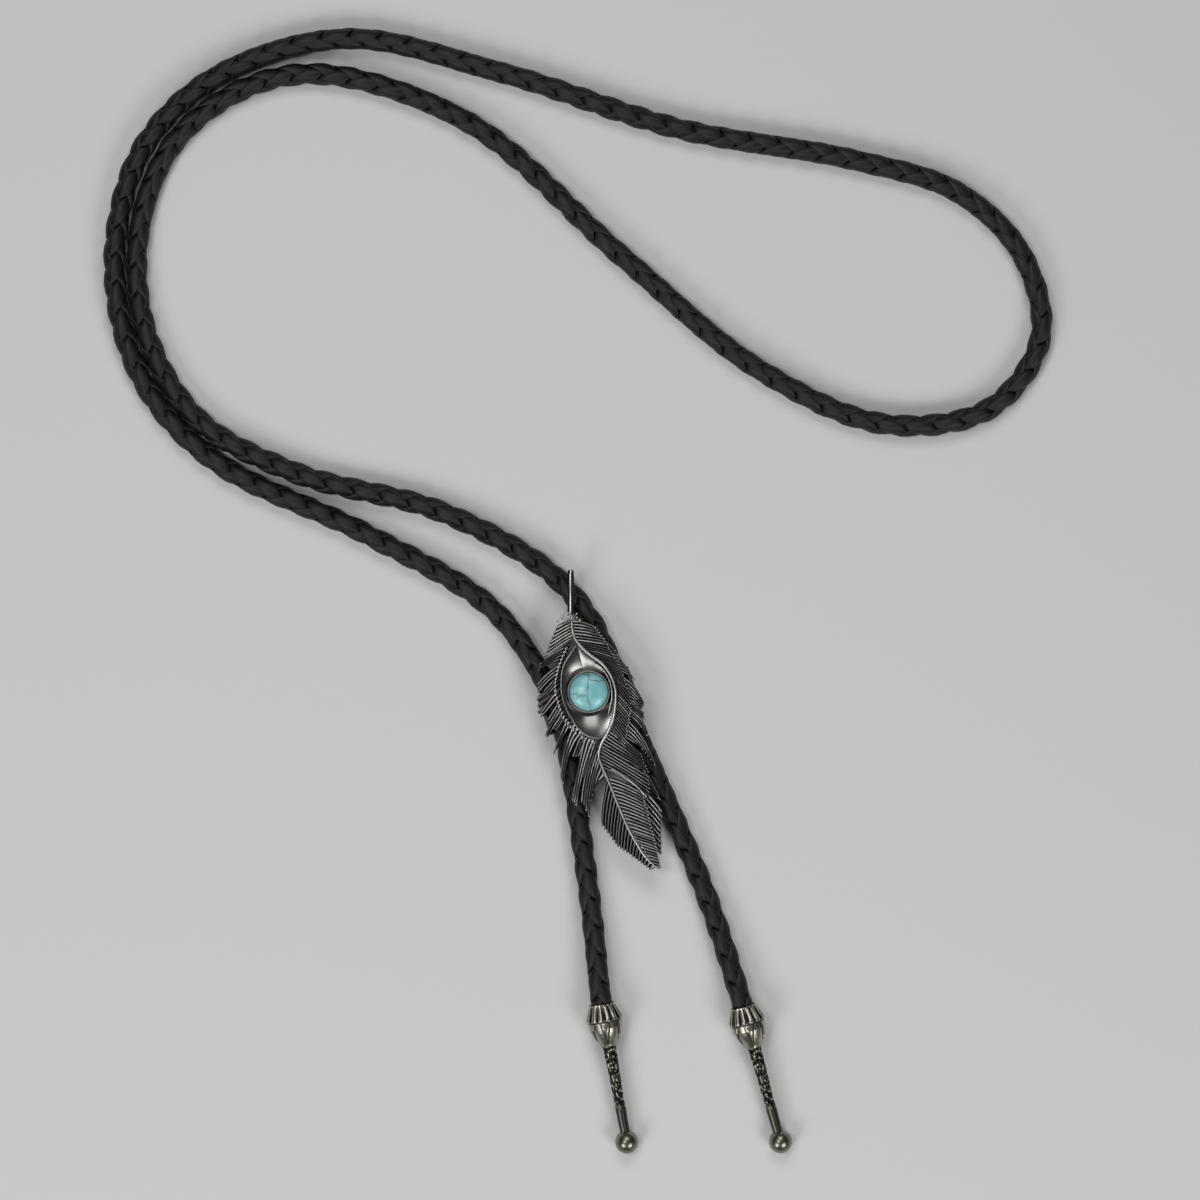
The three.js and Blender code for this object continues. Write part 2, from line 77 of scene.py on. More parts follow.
# Braid of four flat strips
BRAID_RADIUS = 2.86 * MM
STRIP_WIDTH = 4.1 * MM
STRIP_THICKNESS = 1.05 * MM
STRIP_TURN = 14.2 * MM
STRIP_WAVE = 0.24 * MM
STRIP_SWAY = 0.28
BRAID_STEP = 0.56 * MM
CORE_SIDES = 8
CORE_STEP = 6
# Across a strip: share of half its width, and of half its thickness.
STRIP_SECTION = [
    (-1, 0), (-0.86, 0.62), (-0.5, 0.9), (0, 1), (0.5, 0.9), (0.86, 0.62),
    (1, 0), (0.7, -0.8), (0, -1), (-0.7, -0.8),
]

# Feather slide
FEATHER_SEED = 11
FEATHER_WIDTH = 31.5 * MM
FEATHER_LENGTH = 74.5 * MM
BACK = 6.6 * MM
PLATE = 1.35 * MM
CREST = 0.45 * MM
LEAF_LIFT = 0.6 * MM
INNER_LIFT = 0.2 * MM
BARB_NOTCH = 0.09
DISH_FLOOR = 0.35 * MM
DISH_RISE = 1.55 * MM
BEZEL_RADIUS = 5.3 * MM
BEZEL_TOP = BACK + 2.1 * MM
POCKET_RADIUS = 4.9 * MM
BEZEL_SIDES = 96
QUILL_RADIUS = 0.85 * MM

# Locks of barbs: the first and the last barb of each by root, bend and tip, in percent
# of the feather's width and length from the centre of the stone.
Lock = namedtuple("Lock", "layer barbs first last")
LOCKS = [
    Lock("bright vane", 7, [(-13.5, 24.3), (-19.5, 23.2), (-25.5, 22)],
         [(-13.2, 17.4), (-24.5, 14.8), (-36.4, 10.8)]),
    Lock("vane", 4, [(-13.6, 16.8), (-26, 13.6), (-38.2, 9.6)],
         [(-18.6, 10.6), (-30.5, 10), (-40.3, 6.6)]),
    Lock("vane", 3, [(-18.8, 10.2), (-31.2, 8.2), (-40.6, 2.9)],
         [(-21, 6.6), (-31, 4.4), (-41, -1.3)]),
    Lock("vane", 3, [(-21, 6.8), (-28.6, 4.2), (-36.5, 0.4)],
         [(-21.7, 2.6), (-27.6, 1.2), (-32.4, -1.4)]),
    Lock("vane", 2, [(-21.8, 3), (-29.8, -1), (-38.2, -6.9)],
         [(-21, -1.4), (-28.6, -4.2), (-37.6, -9)]),
    Lock("vane", 2, [(-21, -1.2), (-27.5, -5), (-33.2, -9)],
         [(-19.6, -3.8), (-25.2, -7), (-30.2, -11)]),
    Lock("vane", 2, [(-19.8, -3.4), (-28.2, -8.6), (-34.7, -14.6)],
         [(-17.2, -6), (-26, -11.5), (-33.2, -15.6)]),
    Lock("vane", 2, [(-17.6, -5.6), (-23, -9), (-28.2, -12.2)],
         [(-15.6, -7.4), (-21, -10.2), (-25.4, -13)]),
    Lock("bright vane", 2, [(-16, -7), (-24, -14), (-28.8, -22.2)],
         [(-11.6, -10), (-20.5, -14.8), (-24, -18.6)]),
    Lock("bright vane", 3, [(-12, -9.8), (-22, -19.5), (-22.6, -30)],
         [(-4.6, -13.6), (-18.3, -20), (-19.8, -32)]),
    Lock("vane", 3, [(-5.4, -13.4), (-10.5, -17.5), (-13.8, -22)],
         [(0.4, -14.8), (-4.4, -18), (-7, -21.4)]),
    Lock("bright vane", 3, [(-4.4, -15.2), (-8.5, -24.5), (-14, -37)],
         [(5, -16), (-5.5, -26), (-9.3, -38.7)]),
    Lock("bright vane", 4, [(4.5, -15.8), (-4, -26), (-6.8, -36)],
         [(9, -21.6), (-0.2, -31.4), (1, -42.7)]),
    Lock("vane", 3, [(8.6, -21), (0.8, -31), (1.6, -37.5)],
         [(12.1, -28.6), (8.2, -29.4), (4.6, -32.1)]),
    Lock("bright vane", 7, [(-13, 24), (-4, 24), (5, 21.8)],
         [(-9, 16.7), (4.6, 16.1), (16.5, 15.2)]),
    Lock("under", 9, [(8, 18), (15.5, 17), (20, 14.2)],
         [(24, 6.4), (31.6, 6), (38, 3.2)]),
    Lock("under", 6, [(26, 5.6), (36.5, 3.6), (45, -4.7)],
         [(28, -3), (35, -2.6), (41.5, -6.4)]),
    Lock("vane", 7, [(-9, 16.8), (4, 16.2), (15.8, 15)],
         [(6, 10.8), (15.6, 10.2), (26.2, 7.4)]),
    Lock("vane", 6, [(6, 11.1), (17, 10.2), (26.8, 7.2)],
         [(17.6, 5.3), (24.8, 3.8), (31.4, 0.4)]),
    Lock("vane", 5, [(17.4, 5.6), (26, 3.6), (32.8, 0)],
         [(21.4, 0), (28.4, -2.8), (33.8, -6.2)]),
    Lock("inner", 13, [(21, 0.2), (28, -2.2), (34, -6)],
         [(15.4, -11.8), (22.6, -15.2), (28.4, -19)]),
    Lock("under", 4, [(24, -0.8), (34, -3), (44.5, -7.2)],
         [(30, -5.8), (37, -6.8), (44.3, -9.6)]),
    Lock("under", 3, [(31, -6), (42.5, -6.6), (47.8, -15)],
         [(33, -8.4), (40, -10.4), (45.6, -14.8)]),
    Lock("under", 5, [(27, -7.6), (43.8, -12.4), (53.6, -25.6)],
         [(26, -15.5), (35, -16.6), (41.2, -18.6)]),
    Lock("vane", 7, [(16.9, -11.4), (29.5, -15.6), (41.5, -20.6)],
         [(8.8, -18.4), (27, -22.6), (48.5, -27.4)]),
    Lock("under", 2, [(32.8, -20.6), (47.6, -25.9), (57.6, -37)],
         [(29.2, -23.1), (44.3, -27), (54.8, -35.8)]),
    Lock("vane", 6, [(8.4, -18), (26.5, -22.8), (48.6, -28)],
         [(11.4, -25.8), (28, -28.6), (48.7, -35.7)]),
    Lock("under", 9, [(42, -31.5), (51, -34.8), (57.8, -39.2)],
         [(51, -52), (54.6, -53.4), (57.4, -54.6)]),
    Lock("leaf", 14, [(13.2, -28.2), (28.8, -29.6), (43.9, -34)],
         [(31.4, -46.4), (41.5, -47.8), (52.6, -49.4)]),
    Lock("leaf", 10, [(31, -46), (43.1, -47.8), (52.4, -49.2)],
         [(51.2, -58.4), (54, -58.8), (57, -59)]),
    Lock("shaded leaf", 6, [(14.6, -29.6), (9.8, -37), (9.9, -44.8)],
         [(25.6, -39.4), (22.9, -44.9), (22.3, -51.7)]),
    Lock("shaded leaf", 12, [(25.2, -39), (22.6, -44.7), (21.9, -51.5)],
         [(52.4, -58.6), (50.6, -59), (49.4, -59.3)]),
    Lock("deep", 3, [(-21.5, 4), (-32, 1), (-41, -1.6)],
         [(-20.5, -2), (-31, -5), (-40.4, -8)]),
]
SPINE = [
    (-13.5, 25.3), (-12.8, 20.6), (-10.5, 17.7), (-5.3, 14.9), (1.3, 12.3), (11, 9.3),
    (17.3, 5.5), (20.7, 1.4), (21.3, -2.6), (19.1, -9.3), (14.7, -13.6), (9.8, -17.5),
    (8, -21.4), (10.8, -25.1), (16.3, -30.3), (23, -37.5), (32.5, -46.4), (44.8, -54.9),
    (54.6, -59),
]
EYE_TOP = 2
EYE_BOTTOM = 10
EYE_RIM = [
    (-10.1, 15.4), (-14.8, 12.5), (-18.8, 9.8), (-21, 6.5), (-21.7, 2.8), (-21, -1.2),
    (-18.7, -4.6), (-15.2, -7.6), (-9.3, -11.5), (-4.3, -13.7), (1.8, -15.2), (8.6, -15.7),
]
INNER_RIM = [
    (4.4, 9.5), (9.2, 8.3), (13.5, 6.2), (16.5, 3.6), (18, 1.1), (18.3, -2), (17.1, -4.6),
    (15.3, -7.7),
]
SCROLLS = [
    [(-25.8, 23.4), (-22.4, 23.9), (-21.2, 25), (-18.6, 25.6), (-16.4, 26.3), (-14, 25.9)],
    [(-20.6, 24.2), (-17.6, 24.8), (-15.2, 25)],
]
LEAF_LIP = [(17.5, -25.6), (26.5, -27.8), (37.5, -31.3), (45.9, -35.1)]
RIM_LOCKS = (1, 9)
RIM_BAND = 1.9 * MM
RIM_LOCK_WEAR = 0.86
BEAD_ROW = [
    (-17.7, 14.5), (-20.9, 11.5), (-24, 7.8), (-26.1, 4), (-26.5, 0.8), (-25.6, -1.4),
    (-23.4, -4.6), (-21.2, -7.4), (-17.7, -9.7), (-13.2, -12.1), (-9.3, -14.2), (-3.8, -15.3),
    (3.5, -16.6),
]
BEAD_PITCH = 0.95 * MM
BEAD_STEP = 0.26 * MM
BEAD_LEANS = (215, 245)
BEAD_RADII = (0.28, 0.32)
SCROLL_BEADS = [(-12.2, 24.4, 0.42), (-9.6, 26, 0.3), (-9.4, 24.7, 0.34), (-7.2, 23.9, 0.42)]
QUILL_FOOT = (-14.2, 25.6)
QUILL_TOP = (-14.2, 40.7)

# Stone
STONE_RADIUS = 4.75 * MM
STONE_SEAT = BACK + 0.85 * MM
STONE_GIRDLE = 0.9 * MM
STONE_DOME = 1.9 * MM
STONE_RINGS = 84
STONE_SIDES = 260
# Veins on the stone in shares of its radius.
VEINS = [
    [(0.01, 0.98), (0, 0.8), (-0.05, 0.58), (-0.06, 0.2), (-0.08, -0.15), (-0.04, -0.4),
     (0.06, -0.65), (0.1, -1)],
    [(0.02, 0.64), (0.3, 0.6), (0.55, 0.56), (0.78, 0.6)],
    [(-0.08, -0.2), (-0.35, -0.2), (-0.55, -0.22), (-0.62, -0.1), (-0.8, -0.1), (-1, -0.15)],
    [(-0.55, -0.2), (-0.62, -0.38)],
    [(-0.3, 0.9), (0.05, 0.88)],
]

# Cord tips
TIP_LENGTH = 38.2 * MM
COLLAR_RADIUS = 4.55 * MM
COLLAR_FLARE = 4 * MM
BELL_LENGTH = 6.6 * MM
NECK_LENGTH = 6 * MM
BALL_RADIUS = 2.9 * MM
STEM_RADIUS = 1.65 * MM
NECK_RADIUS = 1.4 * MM
BORE_RADIUS = 2.9 * MM
BORE_DEPTH = 6 * MM
MOUTH_RADIUS = 3.2 * MM
FIT_GAP = 0.3 * MM
FLUTES = 14
FLUTE_DEPTH = 0.4 * MM
SEPALS = 6
SEPAL_RISE = 0.26 * MM
NUGGETS = 700
NUGGET_TOP = 0.3 * MM
STEM_SEED = 5
TIP_SIDES = 96


def smooth(t):
    """Eases a share from 0 to 1."""
    t = np.clip(t, 0.0, 1.0)
    return t * t * (3 - 2 * t)


def catmull_rom(points, per_span):
    """The centripetal curve through the points, as many samples to every span."""
    points = np.array(points, dtype=float)
    padded = np.vstack([2 * points[0] - points[1], points, 2 * points[-1] - points[-2]])
    samples = []
    for p0, p1, p2, p3 in zip(padded, padded[1:], padded[2:], padded[3:]):
        gaps = [max(np.linalg.norm(b - a) ** 0.5, 1e-6) for a, b in ((p0, p1), (p1, p2), (p2, p3))]
        start = (p1 - p0) / gaps[0] - (p2 - p0) / (gaps[0] + gaps[1]) + (p2 - p1) / gaps[1]
        end = (p2 - p1) / gaps[1] - (p3 - p1) / (gaps[1] + gaps[2]) + (p3 - p2) / gaps[2]
        start, end = start * gaps[1], end * gaps[1]
        for t in np.linspace(0, 1, per_span, endpoint=False):
            samples.append(
                p1 * (2 * t**3 - 3 * t**2 + 1) + p2 * (3 * t**2 - 2 * t**3)
                + start * (t**3 - 2 * t**2 + t) + end * (t**3 - t**2)
            )
    samples.append(points[-1])
    return np.array(samples)


def resampled(line, count):
    """The line as points an equal length apart, and their distances along it."""
    steps = np.linalg.norm(np.diff(line, axis=0), axis=1)
    travelled = np.concatenate([[0], np.cumsum(steps)])
    stations = np.linspace(0, travelled[-1], count)
    return np.column_stack([np.interp(stations, travelled, c) for c in line.T]), stations


def across_and_up(line):
    """At each point of a line: its direction, the level direction across it, and up."""
    ahead = np.gradient(line, axis=0)
    ahead /= np.linalg.norm(ahead, axis=1)[:, None]
    across = np.cross(ahead, (0, 0, 1))
    across /= np.linalg.norm(across, axis=1)[:, None]
    return ahead, across, np.cross(across, ahead)


class Mesh:
    """Gathers closed shells, with named numbers at their corners, into one object."""

    def __init__(self):
        self.points = []
        self.faces = []
        self.values = {}
        self.count = 0

    def add(self, points, faces, **values):
        points = np.asarray(points, dtype=float).reshape(-1, 3)
        self.points.append(points)
        self.faces += [[i + self.count for i in face] for face in faces]
        for name in set(self.values) | set(values):
            column = self.values.setdefault(name, [np.zeros(self.count)])
            given = np.asarray(values.get(name, 0.0), dtype=float).ravel()
            column.append(np.broadcast_to(given, len(points)) if given.size == 1 else given)
        self.count += len(points)

    def make(self, name):
        mesh = bpy.data.meshes.new(name)
        mesh.from_pydata(np.vstack(self.points).tolist(), [], self.faces)
        for key, column in self.values.items():
            layer = mesh.attributes.new(key, "FLOAT", "POINT")
            layer.data.foreach_set("value", np.concatenate(column))
        mesh.polygons.foreach_set("use_smooth", [True] * len(mesh.polygons))
        shells = bmesh.new()
        shells.from_mesh(mesh)
        bmesh.ops.recalc_face_normals(shells, faces=shells.faces)
        shells.to_mesh(mesh)
        shells.free()
        piece = bpy.data.objects.new(name, mesh)
        bpy.context.scene.collection.objects.link(piece)
        return piece


def tube_faces(rings, sides, closed_ends=True):
    """Faces of a tube of rings, its corners listed ring by ring, with flat ends."""
    faces = []
    for ring in range(rings - 1):
        for side in range(sides):
            after = (side + 1) % sides
            here, there = ring * sides, (ring + 1) * sides
            faces.append([here + side, here + after, there + after, there + side])
    if closed_ends:
        faces.append(list(reversed(range(sides))))
        faces.append([(rings - 1) * sides + side for side in range(sides)])
    return faces


def on_feather(point):
    """A point in percent of the feather's width and length, in metres."""
    return np.array([point[0] / 100 * FEATHER_WIDTH, point[1] / 100 * FEATHER_LENGTH])


# Camera, straight above
camera_data = bpy.data.cameras.new("camera")
camera = bpy.data.objects.new("camera", camera_data)
camera.location = (*VIEW_CENTRE, CAMERA_HEIGHT)
camera_data.sensor_width = SENSOR_WIDTH
camera_data.lens = SENSOR_WIDTH * CAMERA_HEIGHT / VIEW_WIDTH
camera_data.clip_start = 0.01
bpy.context.scene.collection.objects.link(camera)
bpy.context.scene.camera = camera


def cord_line():
    """The cord's centre line, which never dips into the surface."""
    line = catmull_rom(ROUTE, 40)
    line[:, 2] = np.maximum(line[:, 2], LYING)
    length = np.linalg.norm(np.diff(line, axis=0), axis=1).sum()
    return (*resampled(line, int(length / BRAID_STEP)), length)


def braided_cord(line, stations):
    """Four flat strips plaited round a core, two turning each way, with painted shade where they
    dive and on the core.
    """
    ahead, across, up = across_and_up(line)
    mesh = Mesh()
    wave = 2 * math.pi / STRIP_TURN
    depth = BRAID_RADIUS - STRIP_THICKNESS / 2 - STRIP_WAVE
    # The whole plait twists slowly and unevenly along the cord.
    roll = 0.5 * np.sin(stations * 31) + 0.7 * np.sin(stations * 12.5 + 1)
    slant = math.atan(wave * depth)
    for turn, phase in ((1, 0), (1, math.pi), (-1, 0), (-1, math.pi)):
        angle = phase + turn * wave * stations - STRIP_SWAY * np.sin(2 * wave * stations)
        weave = turn * np.cos(2 * wave * stations)
        centre = depth + STRIP_WAVE * weave
        # Painted shade: each strip is darkened where it dives under the others.
        shadow = np.repeat(smooth((0.3 - 0.5 * weave) / 0.55), len(STRIP_SECTION))
        points = []
        edge = []
        for wide, thick in STRIP_SECTION:
            sideways = wide * STRIP_WIDTH / 2
            around = angle + roll + sideways * math.cos(slant) / (depth + STRIP_WAVE)
            along = -turn * sideways * math.sin(slant)
            reach = centre + thick * STRIP_THICKNESS / 2
            points.append(
                line + ahead * along
                + across * (reach * np.cos(around))[:, None]
                + up * (reach * np.sin(around))[:, None]
            )
            edge.append(np.full(len(line), abs(wide) ** 3))
        points = np.stack(points, axis=1)
        points[:, :, 2] = np.maximum(points[:, :, 2], 0)
        faces = tube_faces(len(line), len(STRIP_SECTION))
        mesh.add(points, faces, edge=np.stack(edge, axis=1), shadow=shadow)
    core = line[::CORE_STEP]
    _, side, top = across_and_up(core)
    turns = np.linspace(0, 2 * math.pi, CORE_SIDES, False)
    ring = [side * math.cos(a) + top * math.sin(a) for a in turns]
    points = core[:, None] + np.stack(ring, axis=1) * (depth - STRIP_WAVE)
    # Painted shade: the core between the strips is marked fully shaded, near black.
    mesh.add(points, tube_faces(len(core), CORE_SIDES), shadow=1.0)
    return mesh.make("braided_cord")


route, distances, cord_length = cord_line()
cord = braided_cord(route, distances)
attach(cord, "root")
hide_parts("leather_cord")


# Feather slide. Of each layer, the height of its valleys over the back plane, the rise of
# its crests, how far they are rubbed bright together with painted light or shade, and the
# radius of the beads at its tips. The bright vane and shaded leaf layers are painted lit and
# shaded copies of the vane and the leaf.
LAYERS = {
    "deep": (PLATE * 0.45, CREST * 0.4, 0.4, 0.2 * MM),
    "under": (PLATE * 0.7, CREST * 0.8, 0.76, 0.24 * MM),
    "vane": (PLATE, CREST, 0.76, 0.24 * MM),
    "bright vane": (PLATE, CREST, 0.95, 0.24 * MM),
    "inner": (PLATE + INNER_LIFT, CREST, 0.82, 0.3 * MM),
    "leaf": (PLATE + LEAF_LIFT, CREST, 0.96, 0.3 * MM),
    "shaded leaf": (PLATE + LEAF_LIFT, CREST, 0.6, 0.3 * MM),
}
ALONG_BARB = 18
BARB_SWELL = (0.82, 1.12)
BARB_SHORTFALL = 0.035
BARB_DROOP = 0.08 * MM
TIP_BEAD_PLACE = 0.975
TIP_BEAD_LIFT = 0.62
ROOT_SHADE = 0.35
# Height of a barb's crest over its width.
BARB_SECTION = [(0, 0), (0.15, 0.45), (0.32, 0.86), (0.5, 1), (0.68, 0.86), (0.85, 0.45)]


def barb_curve(root, bend, tip, shares):
    """Points on a barb's curve, whose ends pull towards its bend."""
    shares = shares[:, None]
    return (1 - shares) ** 2 * root + 2 * shares * (1 - shares) * bend + shares**2 * tip


def add_bead(mesh, spot, height, radius, crest=1.0, polish=0.0):
    """A small ball of cast metal."""
    points = [(0, 0, radius)]
    for ring in (1, 2, 3, 4):
        tilt = math.pi * ring / 5
        for side in range(8):
            turn = 2 * math.pi * side / 8
            reach = radius * math.sin(tilt)
            points.append((reach * math.cos(turn), reach * math.sin(turn), radius * math.cos(tilt)))
    points.append((0, 0, -radius))
    faces = []
    for side in range(8):
        after = (side + 1) % 8
        faces.append([0, 1 + side, 1 + after])
        for ring in range(3):
            here = 1 + ring * 8
            faces.append([here + side, here + 8 + side, here + 8 + after, here + after])
        faces.append([25 + side, 33, 25 + after])
    points = np.array(points) + (spot[0], spot[1], height)
    mesh.add(points, faces, crest=crest, polish=polish)


def add_lock(mesh, lock, rng, dark_band):
    """A closed plate with rounded barbs on it, its valleys stopping short of the crests."""
    # The third value is the crests' rubbed brightness together with the layer's painted light or
    # shade.
    valley, rise, wear_and_light, tip_bead = LAYERS[lock.layer]
    if dark_band:
        wear_and_light *= RIM_LOCK_WEAR
    first = [on_feather(p) for p in lock.first]
    last = [on_feather(p) for p in lock.last]
    rows = []
    crests = []
    for barb in range(lock.barbs + 1):
        swell = rng.uniform(*BARB_SWELL)
        length = 1 - rng.uniform(0, BARB_SHORTFALL)
        droop = rng.uniform(-BARB_DROOP, BARB_DROOP)
        for share, height in BARB_SECTION if barb < lock.barbs else BARB_SECTION[:1]:
            across = (barb + share) / lock.barbs
            ends = [a + (b - a) * across for a, b in zip(first, last)]
            reach = (1 - BARB_NOTCH * (1 - height)) * (length if height > 0 else 1)
            shares = np.linspace(0, 1, ALONG_BARB)
            line = barb_curve(*ends, shares * reach)
            tapered = smooth((1.02 - shares) / 0.16) * 0.45 + 0.55
            lift = valley + height * (rise * swell * tapered + droop * smooth(shares * 4))
            rows.append(np.column_stack([line, BACK + lift]))
            away = np.linalg.norm(line - line[0], axis=1)
            bared = ROOT_SHADE + (1 - ROOT_SHADE) * smooth((away - dark_band) / (0.3 * MM) + 1)
            crests.append(height * wear_and_light * bared)
        spots = [a + (b - a) * (barb + 0.5) / lock.barbs for a, b in zip(first, last)]
        if barb < lock.barbs:
            tip = barb_curve(*spots, np.array([TIP_BEAD_PLACE * length]))[0]
            add_bead(mesh, tip, BACK + valley + rise * TIP_BEAD_LIFT, tip_bead, wear_and_light)
    rows = np.array(rows)
    count = rows.shape[0] * rows.shape[1]
    index = np.arange(count).reshape(rows.shape[:2])
    faces = [
        [index[i, j], index[i + 1, j], index[i + 1, j + 1], index[i, j + 1]]
        for i in range(rows.shape[0] - 1) for j in range(rows.shape[1] - 1)
    ]
    edge = [*index[:-1, 0], *index[-1, :-1], *index[:0:-1, -1], *index[0, :0:-1]]
    top = rows.reshape(-1, 3)
    rim = top[edge]
    under = np.column_stack([rim[:, :2], np.full(len(rim), BACK)])
    faces += [
        [b, a, count + i, count + (i + 1) % len(edge)]
        for i, (a, b) in enumerate(zip(edge, edge[1:] + edge[:1]))
    ]
    faces.append([count + i for i in range(len(edge))][::-1])
    crest = np.concatenate([np.concatenate(crests), np.full(len(rim), 0.0)])
    mesh.add(np.vstack([top, under]), faces, crest=crest)


def add_rod(mesh, line, width, top, per_span=6, crest=1.0, ends=0.5):
    """A rounded raised line that stands on the back plane."""
    spots = catmull_rom([[*on_feather(p), 0] for p in line], per_span)
    ahead, across, _ = across_and_up(spots)
    shares = np.linspace(0, 1, len(spots))
    narrow = ends + (1 - ends) * smooth(np.minimum(shares, 1 - shares) * 14)
    section = [(-1, 0), (-1, 0.45), (-0.85, 0.8), (-0.5, 0.97), (0, 1), (0.5, 0.97),
               (0.85, 0.8), (1, 0.45), (1, 0)]
    half = width / 2
    points = []
    bright = []
    for wide, high in section:
        rise = top - half * 1.4 * (1 - high) if high > 0 else 0.0
        spot = spots + across * (wide * half * narrow)[:, None]
        spot[:, 2] = BACK + rise
        points.append(spot)
        bright.append(np.full(len(spots), crest * max(high - 0.35, 0) / 0.65))
    points = np.stack(points, axis=1)
    bright = np.stack(bright, axis=1)
    mesh.add(points, tube_faces(len(spots), len(section)), crest=bright, polish=0.4)


def add_lathe(mesh, profile, segments, crest=1.0):
    """Turns a profile of (radius, height) that starts and ends on the axis."""
    turns = np.linspace(0, 2 * math.pi, segments, endpoint=False)
    points = []
    for radius, height in profile[1:-1]:
        ring = [(radius * math.cos(t), radius * math.sin(t), height) for t in turns]
        points.append(ring)
    points = np.array(points).reshape(-1, 3)
    faces = tube_faces(len(profile) - 2, segments, closed_ends=False)
    bottom, top = len(points), len(points) + 1
    last = (len(profile) - 3) * segments
    for side in range(segments):
        after = (side + 1) % segments
        faces.append([bottom, after, side])
        faces.append([top, last + side, last + after])
    points = np.vstack([points, [(0, 0, profile[0][1]), (0, 0, profile[-1][1])]])
    mesh.add(points, faces, crest=crest)


def add_dish(mesh):
    """The polished hollow between the left rim and the spine, deepest beside the bezel."""
    right = SPINE[EYE_TOP:EYE_BOTTOM + 1][::-1]
    outline = catmull_rom([[*on_feather(p), 0] for p in EYE_RIM + right], 8)[:, :2]
    inner = outline * (BEZEL_RADIUS * 0.93 / np.linalg.norm(outline, axis=1))[:, None]
    rings = []
    for share in np.linspace(0, 1, 24):
        lift = DISH_FLOOR + DISH_RISE * (1 - (1 - share) ** 1.7)
        spots = inner + (outline - inner) * share
        rings.append(np.column_stack([spots, np.full(len(outline), BACK + lift)]))
    rings.append(np.column_stack([outline, np.full(len(outline), BACK)]))
    rings.append(np.column_stack([inner, np.full(len(outline), BACK)]))
    points = np.array(rings)
    sides = len(outline)
    faces = tube_faces(len(rings), sides, closed_ends=False)
    last = (len(rings) - 1) * sides
    faces += [
        [last + side, last + (side + 1) % sides, (side + 1) % sides, side]
        for side in range(sides)
    ]
    mesh.add(points, faces, crest=0.55, polish=1.0)


def add_quill(mesh):
    """The round stalk above the vanes, a little uneven, with a rounded top, painted bright on top
    and shaded on its sides.
    """
    foot, top = on_feather(QUILL_FOOT), on_feather(QUILL_TOP)
    rings, sides = 24, 20
    turns = np.linspace(0, 2 * math.pi, sides, endpoint=False)
    points = []
    for ring in range(rings):
        y = foot[1] + (top[1] - foot[1]) * ring / (rings - 1)
        rounding = math.sqrt(max(1 - max((ring - rings + 2.5) / 2, 0) ** 2, 0.04))
        radius = QUILL_RADIUS * (0.94 + 0.06 * math.sin(0.4 * ring + 1)) * rounding
        points.append(np.column_stack([
            foot[0] + radius * np.cos(turns), np.full(sides, y),
            BACK + QUILL_RADIUS + radius * np.sin(turns),
        ]))
    # Painted highlight and shade: bright only round the top of the stalk, dark down its sides.
    bright = np.tile(np.clip(2.6 * (np.sin(turns) - 0.66), 0, 1), rings)
    mesh.add(np.array(points), tube_faces(rings, sides), crest=bright, polish=0.6)


def feather_slide():
    """The whole casting: locks of barbs, hollow, rods, beads, bezel and quill."""
    rng = random.Random(FEATHER_SEED)
    mesh = Mesh()
    for number, lock in enumerate(LOCKS):
        at_rim = RIM_LOCKS[0] <= number < RIM_LOCKS[1]
        add_lock(mesh, lock, rng, RIM_BAND if at_rim else 0.0)
    add_dish(mesh)
    leaf_top = PLATE + LEAF_LIFT
    add_rod(mesh, SPINE, 0.75 * MM, leaf_top + 0.6 * MM)
    add_rod(mesh, EYE_RIM, 0.5 * MM, PLATE + CREST + 0.4 * MM, crest=0.66)
    add_rod(mesh, INNER_RIM, 0.45 * MM, PLATE + 0.95 * MM)
    for scroll in SCROLLS:
        add_rod(mesh, scroll, 0.42 * MM, PLATE + CREST + 0.25 * MM)
    add_rod(mesh, LEAF_LIP, 0.5 * MM, leaf_top + CREST + 0.15 * MM, ends=0.3)
    row = catmull_rom([on_feather(p) for p in BEAD_ROW], 8)
    row, _ = resampled(row, int(np.linalg.norm(np.diff(row, axis=0), axis=1).sum() / BEAD_PITCH))
    for place, spot in zip(np.linspace(0, 1, len(row)), row):
        lean = math.radians(BEAD_LEANS[0] + (BEAD_LEANS[1] - BEAD_LEANS[0]) * smooth(place * 2))
        ahead = np.array([math.cos(lean), math.sin(lean)])
        for step in (-BEAD_STEP, 0, BEAD_STEP):
            radius = rng.uniform(*BEAD_RADII) * MM
            add_bead(mesh, spot + ahead * step, BACK + PLATE + CREST * 1.2, radius, polish=1.0)
    for x, y, radius in SCROLL_BEADS:
        add_bead(mesh, on_feather((x, y)), BACK + PLATE + CREST, radius * MM)
    add_lathe(mesh, [
        (0, STONE_SEAT), (POCKET_RADIUS, STONE_SEAT), (POCKET_RADIUS, BEZEL_TOP - 0.12 * MM),
        (POCKET_RADIUS + 0.1 * MM, BEZEL_TOP), (BEZEL_RADIUS - 0.12 * MM, BEZEL_TOP),
        (BEZEL_RADIUS, BEZEL_TOP - 0.14 * MM), (BEZEL_RADIUS, BACK), (0, BACK),
    ], BEZEL_SIDES, crest=0.66)
    add_quill(mesh)
    piece = mesh.make("cast_feather")
    piece.data.set_sharp_from_angle(angle=math.radians(55))
    return piece


feather = feather_slide()
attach(feather, "root")
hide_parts("feather_slide")


# Stone
def distance_to(lines, x, y):
    """The distance from each point to the nearest of the lines."""
    nearest = np.full(x.shape, np.inf)
    for line in lines:
        for a, b in zip(np.array(line[:-1]), np.array(line[1:])):
            span = b - a
            share = ((x - a[0]) * span[0] + (y - a[1]) * span[1]) / (span @ span)
            share = np.clip(share, 0, 1)
            away = np.hypot(x - a[0] - share * span[0], y - a[1] - share * span[1])
            nearest = np.minimum(nearest, away)
    return nearest


